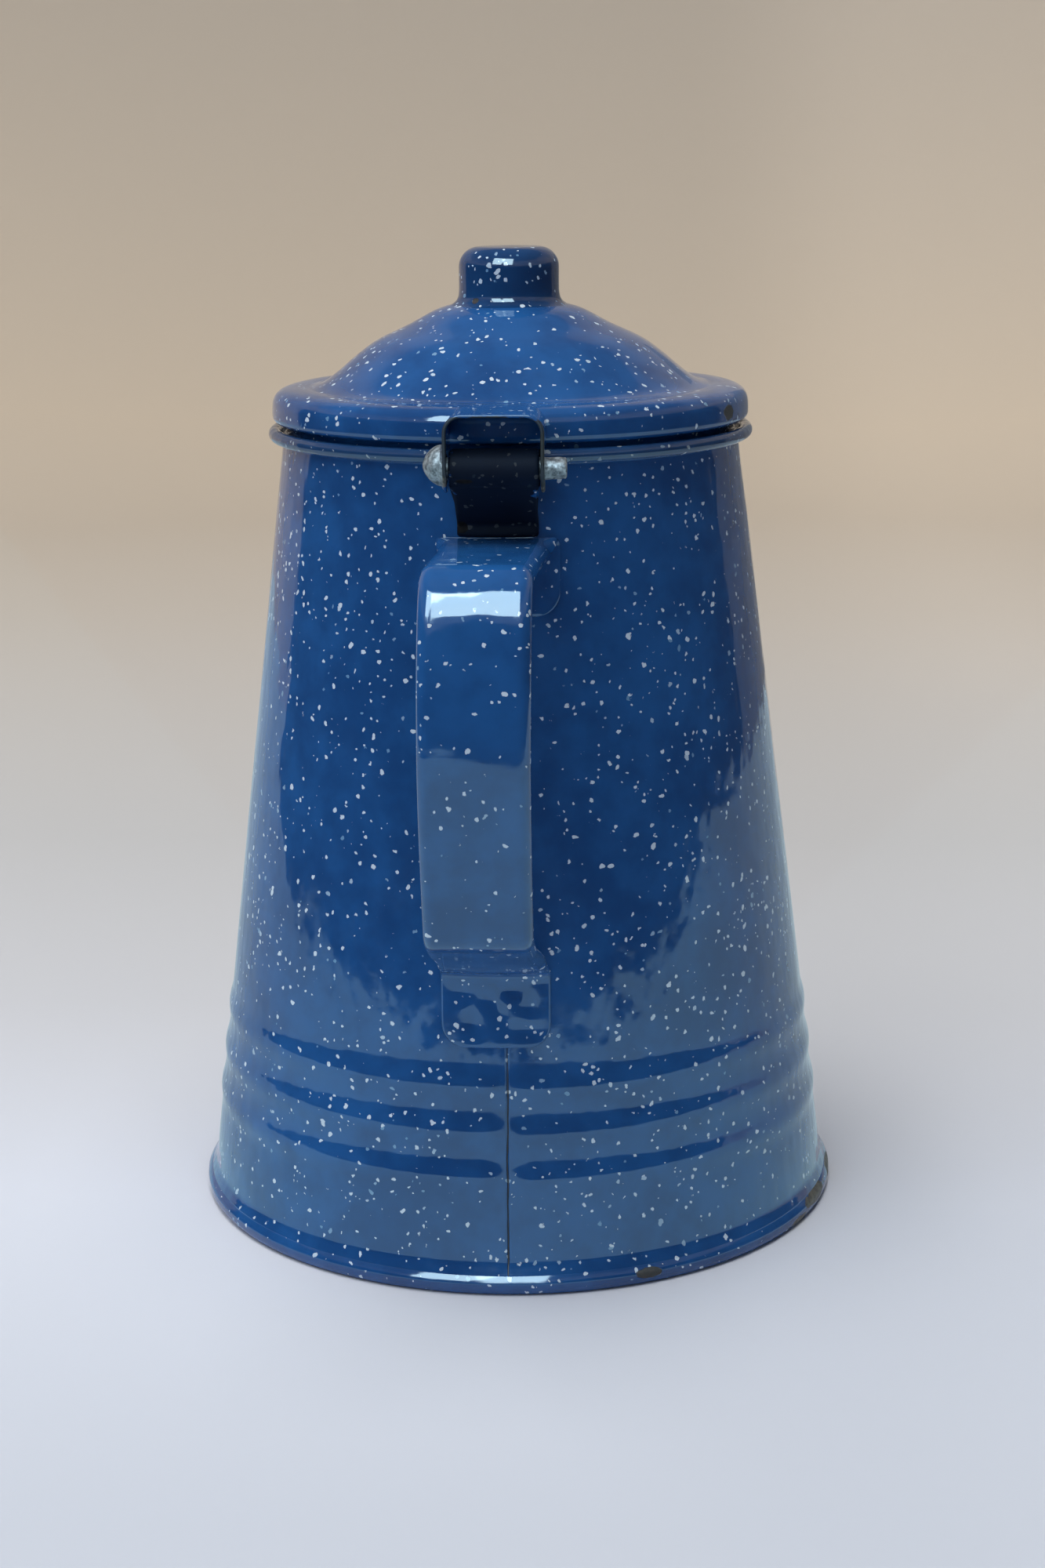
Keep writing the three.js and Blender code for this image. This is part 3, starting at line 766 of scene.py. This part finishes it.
def hinge_bracket():
    """An inverted U of sheet on the lid's brim, with a round ear on each side of the barrel."""
    ear_r = BRACKET_OUT - PIN_OUT
    back_out, brim_end, ear_back_z = 49.5, 53.4, 180.7
    thickness, corner_r = 0.72, 3.5
    half = BRACKET_SIDE - 0.5 * thickness
    top = BRACKET_TOP - 0.5 * thickness
    stations = np.concatenate((
        back_out + np.array((0, 0.15, 0.5)),
        np.arange(back_out + 1.2, PIN_OUT - ear_r - 0.9, 0.9),
        PIN_OUT + ear_r * np.sin(np.radians(np.linspace(-98, 82, 31))),
        BRACKET_OUT - np.array((0.32, 0.16, 0.05, 0)),
    ))
    stations = np.unique(np.round(stations, 3))
    rings = []
    for out in stations:
        if out <= brim_end:  # over the brim, the legs end just inside the lid
            leg_z = max(ear_back_z, 185.2 - 4.2 * smooth(50, brim_end + 0.1, out))
        elif out < PIN_OUT - ear_r + 0.001:
            leg_z = ear_back_z
        else:
            leg_z = PIN_Z - math.sqrt(max(0.0, ear_r**2 - (out - PIN_OUT) ** 2))
        from_end = min(out - stations[0], stations[-1] - out)
        thick = 0.5 * thickness * math.sqrt(max(0.02, 1 - (1 - min(1.0, from_end / 0.36)) ** 2))
        arch = rounded([(half, leg_z), (half, top, corner_r), (-half, top, corner_r), (-half, leg_z)], 9)
        legs = even_line((half, leg_z + 0.5), arch[1], 9)
        line = np.vstack((legs, arch[2:-2], legs[::-1] * (-1, 1)))
        ring = sheet_ring(line, thick, 3)
        x, z = ring.T
        pinch = np.abs(0.12 * smooth(4, 9, np.abs(x)) * wobble(x, np.full_like(x, out), z, 8, 3.3))
        rings.append(np.column_stack((x - pinch * np.sign(x), np.full(len(ring), -out), z)))
    verts, faces = swept(rings)
    dark = [
        ((0, -66.9, 185.6), (11.5, 1.0, 1.3)),
        ((-9.8, -66.9, 181), (1.2, 1.0, 7)),
        ((9.8, -66.0, 180), (1.4, 2.6, 8)),
    ]
    worn = [
        ((10.0, -66.8, 180.5), (1.3, 1.3, 3.6)),
        ((10.2, -64.0, 172.6), (1.0, 3.2, 1.8)),
        ((-9.8, -67, 173.5), (1, 2, 1.6)),
    ]
    material = enamel("bracket_enamel", worn=worn, dark=dark, gloss=0.35)
    make_piece("hinge_bracket_band", verts, faces, material, "lid", "hinge_bracket", sharp=50)


def hinge_rivet():
    """The hinge pin: a hammered head on one side, and a rough stub on the other."""
    head_face = BRACKET_SIDE + 0.02
    head_r, head_height, tail = 4.5, 4.3, 14.75
    dome = arc((0, 0), 1, 0, 88, 14) * (head_r, head_height) + (0, head_face)
    body = spaced(np.array([(PIN_R - 0.05, head_face), (PIN_R - 0.05, -tail + 0.7)]), 0.6)
    stub = rounded([(PIN_R, 0), (PIN_R, -tail + 0.1, 0.6), (0, -tail), (0, 0)], 15)[1:-1]
    profile = np.vstack(([(0, head_face + head_height)], dome[::-1], body, stub))[::-1]

    def warp(r, z, angle):
        x, y = r * np.cos(angle), r * np.sin(angle)
        outside = smooth(head_face, head_face + 0.8, z) + smooth(-head_face, -head_face - 0.8, z)
        blows = 0.30 * wobble(x, y, z, 2.6, 1.3) + 0.12 * wobble(x, y, z, 1.1, 9.1)
        squash = 1 + 0.05 * np.cos(2 * angle + 0.7) * smooth(head_face, head_face + 0.5, z)
        return np.maximum(0, r * squash + (blows - 0.2) * outside * smooth(0.3, 1.6, r)), z

    verts, faces = turned(profile, full_turn(72), closed=False, warp=warp)
    lift = 0.7 * smooth(head_face - 0.1, head_face + 0.3, verts[:, 2])
    verts = np.column_stack((-verts[:, 2], verts[:, 0] - PIN_OUT, verts[:, 1] + PIN_Z + lift))
    make_piece("rivet", verts, faces, aluminium(), "lid", "hinge_rivet")


# ---- Floor, light and surroundings ----

def stage_mesh(name, verts, faces, material):
    mesh = bpy.data.meshes.new(name)
    mesh.from_pydata([tuple(v) for v in verts], [], faces)
    mesh.polygons.foreach_set("use_smooth", [True] * len(mesh.polygons))
    mesh.materials.append(material)
    made = bpy.data.objects.new(name, mesh)
    bpy.context.collection.objects.link(made)
    return made


def floor_material():
    """Matt paper, cool and pale in front, warmer towards the back and up the wall."""
    s = Shader("backdrop")
    depth = s.vector("DOT_PRODUCT", s.place, (0, 1, 0.8))
    near, far = -0.2, 2.2
    tint = s.tree.nodes.new("ShaderNodeValToRGB")
    s.put(tint.inputs[0], s.math("DIVIDE", s.math("SUBTRACT", depth, near), far - near))
    # Besides the paper's colour, the stops' lightness paints light and shade on the floor: lightest at and
    # just in front of the pot, dimmer behind it.
    stops = [
        (-0.17, (0.53, 0.565, 0.64)),
        (-0.02, (0.61, 0.64, 0.715)),
        (0.12, (0.53, 0.54, 0.575)),
        (0.30, (0.49, 0.49, 0.50)),
        (0.75, (0.54, 0.495, 0.445)),
        (1.30, (0.615, 0.53, 0.43)),
        (1.95, (0.475, 0.43, 0.375)),
    ]
    ramp = tint.color_ramp.elements
    while len(ramp) < len(stops):
        ramp.new(1.0)
    for stop, (place, colour) in zip(ramp, stops):
        stop.position = (place - near) / (far - near)
        stop.color = (*colour, 1)
    # Painted light: the floor right of the pot is made up to 15% lighter, against the shade that falls
    # there.
    painted_light_right = s.ramp(s.vector("DOT_PRODUCT", s.place, (1, 0, 0)), 0.05, 0.22, 1.0, 1.15)
    painted_light_right = s.node("CombineXYZ", X=painted_light_right, Y=painted_light_right, Z=painted_light_right).outputs[0]
    s.put(s.bsdf.inputs["Base Color"], s.vector("MULTIPLY", tint.outputs[0], painted_light_right))
    s.bsdf.inputs["Roughness"].default_value = 0.75
    s.bsdf.inputs["Specular IOR Level"].default_value = 0.15
    return s.material


def make_floor():
    """A round floor that curves up into a wall all round."""
    flat, bend, top = 1.1, 0.5, 1.7
    curve = arc((flat, bend), bend, -90, 0, 20)
    profile = np.vstack(([(0, 0), (flat * 0.5, 0)], curve, [(flat + bend, top)]))
    verts, faces = turned(profile, full_turn(96), closed=False)
    stage_mesh("backdrop", verts, faces, floor_material())


def card(name, verts, rows, columns, colour, glow=0.0, gloss=True):
    """A card that neither the camera nor the lights see: only the gloss does, or only the matt light."""
    s = Shader(name)
    s.bsdf.inputs["Base Color"].default_value = (0, 0, 0, 1) if glow else colour
    s.bsdf.inputs["Emission Color"].default_value = colour
    s.bsdf.inputs["Emission Strength"].default_value = glow
    s.bsdf.inputs["Roughness"].default_value = 0.9
    made = stage_mesh(name, verts, grid_faces(rows, columns), s.material)
    made.visible_camera = made.visible_shadow = made.visible_transmission = False
    made.visible_glossy, made.visible_diffuse = gloss, not gloss
    return s


def ringed(radius, turns, z):
    """Points on a circle round the pot, at these turns in degrees from -Y towards +X."""
    angles = np.radians(turns - 90)
    z = np.broadcast_to(z, angles.shape)
    return np.column_stack((radius * np.cos(angles), radius * np.sin(angles), z))


def make_room():
    """The dark part of a room round the camera's side, a shaded right side, and a glowing card, seen only in
    reflections, that paints the lit table's gleam.
    """
    room_r, dark_top, shade_r, shade_top, table_z = 0.60, 0.36, 0.63, 1.0, 0.001
    for name, start, end, grey in (("dark_card", -114, 118, 0.05), ("side_card", 118, 165, 0.26)):
        turns = np.linspace(start, end, 90)
        table_edge = np.interp(turns, (-114, -95, 0, 60, 92, 165), (0.02, 0.0, 0.0, 0.012, 0.05, 0.012))
        dark = np.vstack((ringed(room_r, turns, table_edge), ringed(room_r, turns, dark_top)))
        card(name, dark, 2, len(turns), (grey, grey, grey, 1))
    turns = np.linspace(28, 150, 40)
    shade = np.vstack((ringed(shade_r, turns, 0.0), ringed(shade_r, turns, shade_top)))
    card("shade_card", shade, 2, len(turns), (0.03, 0.03, 0.03, 1), gloss=False)
    # Painted reflection: a glowing card on the table, seen only in the gloss, for a bright, bluish table in
    # front of the pot.
    turns, radii = np.linspace(-160, 160, 80), (0.079, 0.2, 0.5, 0.9, 1.3)
    table = np.vstack([ringed(radius, turns, table_z) for radius in radii])
    s = card("table_gleam", table, len(radii), len(turns), (0.57, 0.90, 1.0, 1), glow=1.04)
    ahead = s.vector("DOT_PRODUCT", s.vector("NORMALIZE", s.place), (0, -1, 0))
    gleam = s.mix(s.ramp(ahead, -0.45, 0.55), (0.44, 0.55, 0.60, 1), (0.57, 0.92, 1.04, 1))
    s.put(s.bsdf.inputs["Emission Color"], gleam)


def area_light(name, azimuth, elevation, distance, size, radiance, colour, gloss=True, diffuse=True):
    """A rectangular light that faces the pot, placed by its direction from the pot in degrees."""
    data = bpy.data.lights.new(name, "AREA")
    data.shape = "RECTANGLE"
    data.size, data.size_y = size
    data.energy = radiance * math.pi * size[0] * size[1]
    data.color = colour
    light = bpy.data.objects.new(name, data)
    a, e = math.radians(azimuth), math.radians(elevation)
    toward = Vector((math.sin(a) * math.cos(e), -math.cos(a) * math.cos(e), math.sin(e)))
    light.location = toward * distance + Vector((0, 0, 0.1))
    light.rotation_mode = "QUATERNION"
    light.rotation_quaternion = toward.to_track_quat("Z", "Y")
    light.visible_glossy = gloss
    light.visible_diffuse = diffuse
    bpy.context.collection.objects.link(light)


def make_lights():
    """A window up behind the camera, seen in the gloss, and soft light from above and from the left."""
    daylight, soft = (0.62, 0.88, 1.0), (1.0, 0.99, 0.97)
    for pane, azimuth in (("left_pane", -26.5), ("right_pane", 0.5)):
        area_light(pane, azimuth, 43.5, 1.3, (0.46, 0.76), 13.0, daylight, diffuse=False)
    area_light("left", -76, 46, 1.6, (2.3, 2.3), 1.55, soft, gloss=False)
    area_light("above", 0, 86, 1.6, (0.9, 0.9), 7.1, soft, gloss=False)
    world = bpy.data.worlds.new("room")
    world.use_nodes = True
    room = world.node_tree.nodes["Background"]
    room.inputs["Color"].default_value = (0.93, 0.96, 1.0, 1)
    room.inputs["Strength"].default_value = 0.15
    bpy.context.scene.world = world
    bpy.context.scene.view_settings.view_transform = "Standard"


make_camera()
make_floor()
make_room()
make_lights()
body_wall()
base_disc()
spout()
handle_strap()
hinge_tab()
lid_shell()
lid_knob()
hinge_bracket()
hinge_rivet()
